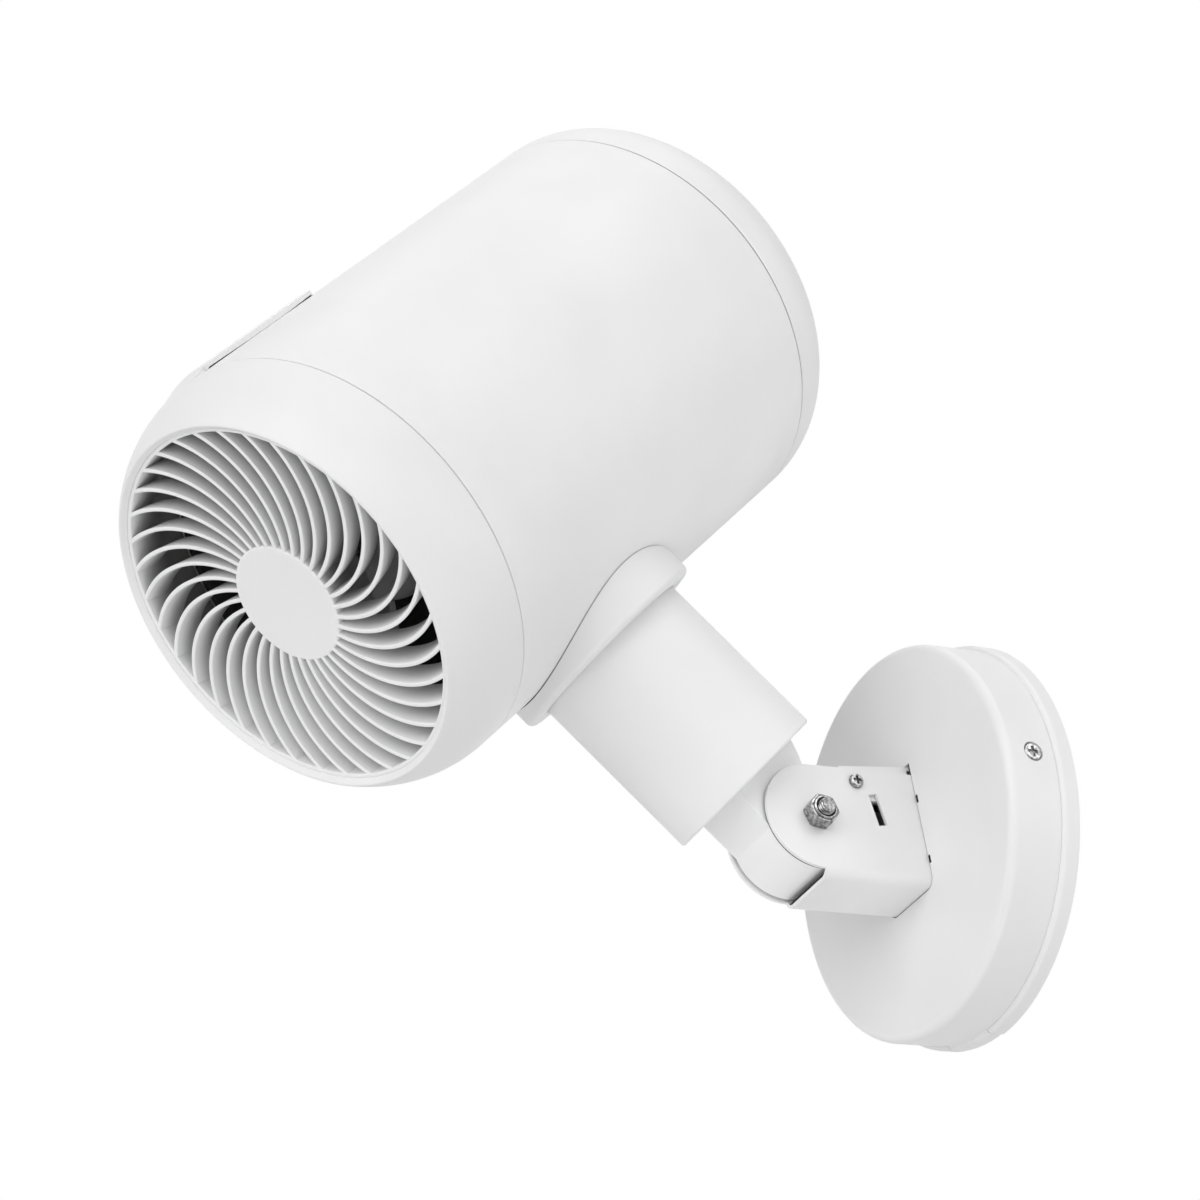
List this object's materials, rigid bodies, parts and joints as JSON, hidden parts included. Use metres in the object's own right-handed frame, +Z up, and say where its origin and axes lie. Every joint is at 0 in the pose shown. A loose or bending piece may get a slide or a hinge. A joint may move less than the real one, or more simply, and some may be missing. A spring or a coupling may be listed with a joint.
{
  "type": "wall mounted fan",
  "caption": "Wall mounted fan: a round base and bracket hold a tilting neck, whose cylindrical head swivels from side to side and blows through a spiral vane grille.",
  "frame": {"origin": "centre of the base's back face, where it meets the wall", "axes": "+Y into the wall, -Y out into the room, +Z up, +X to the side with the lock nut and the slot in the bracket"},
  "size_m": [0.1528, 0.2939, 0.3373],
  "materials": {
    "white_plastic": "satin moulded",
    "white_paint": "powder coated",
    "steel": "plain stainless",
    "motor_case": "zinc plated",
    "inner_plastic": "matte moulded",
    "dark_plastic": "matte",
    "gloss_panel": "smooth",
    "board": "matte"
  },
  "bodies": {
    "wall_mount": {"wall_plate": "white_plastic", "base_cover": "white_plastic", "cover_screws": "steel", "terminal_block": "inner_plastic", "tilt_bracket": "white_paint", "bracket_screws": "steel", "channel_cover": "white_paint", "channel_cover_screw": "steel", "pivot_bolt": "steel", "pivot_washer": "steel", "lock_nut": "steel", "friction_discs": "dark_plastic"},
    "neck": {"knuckle": "white_paint", "knuckle_screws": "steel", "neck_tube": "white_plastic", "bearing_plate": "inner_plastic", "swivel_motor": "motor_case", "motor_screws": "steel"},
    "pinion": {"pinion_shaft": "steel", "swivel_pinion": "inner_plastic"},
    "head": {"swivel_spigot": "inner_plastic", "swivel_gear": "inner_plastic", "retaining_clip": "steel", "collar": "white_plastic", "spigot_screws": "steel", "collar_screws": "steel", "body_shell": "white_plastic", "front_shell": "white_plastic", "front_grille": "white_plastic", "rear_cap": "white_plastic", "control_panel": "gloss_panel", "control_board": "board", "board_screws": "steel", "fan_duct": "inner_plastic", "motor_mount": "inner_plastic", "mount_screws": "steel", "fan_motor": "motor_case"},
    "impeller": {"motor_shaft": "steel", "impeller": "inner_plastic", "impeller_nut": "inner_plastic"}
  },
  "joints": [
    {"name": "tilt", "type": "hinge", "parent": "wall_mount", "child": "neck", "pos_m": [0, -0.0666, -0.00065], "axis": [1, 0, 0], "range_deg": [-10, 47.1]},
    {"name": "swivel", "type": "hinge", "parent": "neck", "child": "head", "pos_m": [0, -0.12787, 0.06528], "axis": [0, -0.6807, 0.7325], "range_deg": [-45, 45]},
    {"name": "pinion_turn", "type": "hinge", "parent": "neck", "child": "pinion", "pos_m": [0, -0.10652, 0.07051], "axis": [0, -0.6807, 0.7325], "range_deg": [-136, 136]},
    {"name": "impeller_spin", "type": "hinge", "parent": "head", "child": "impeller", "pos_m": [0, -0.18314, 0.12476], "axis": [0, -0.7325, -0.6807], "continuous": true}
  ],
  "couplings": [
    {"joint": "pinion_turn", "follows": "swivel", "ratio": -3}
  ]
}
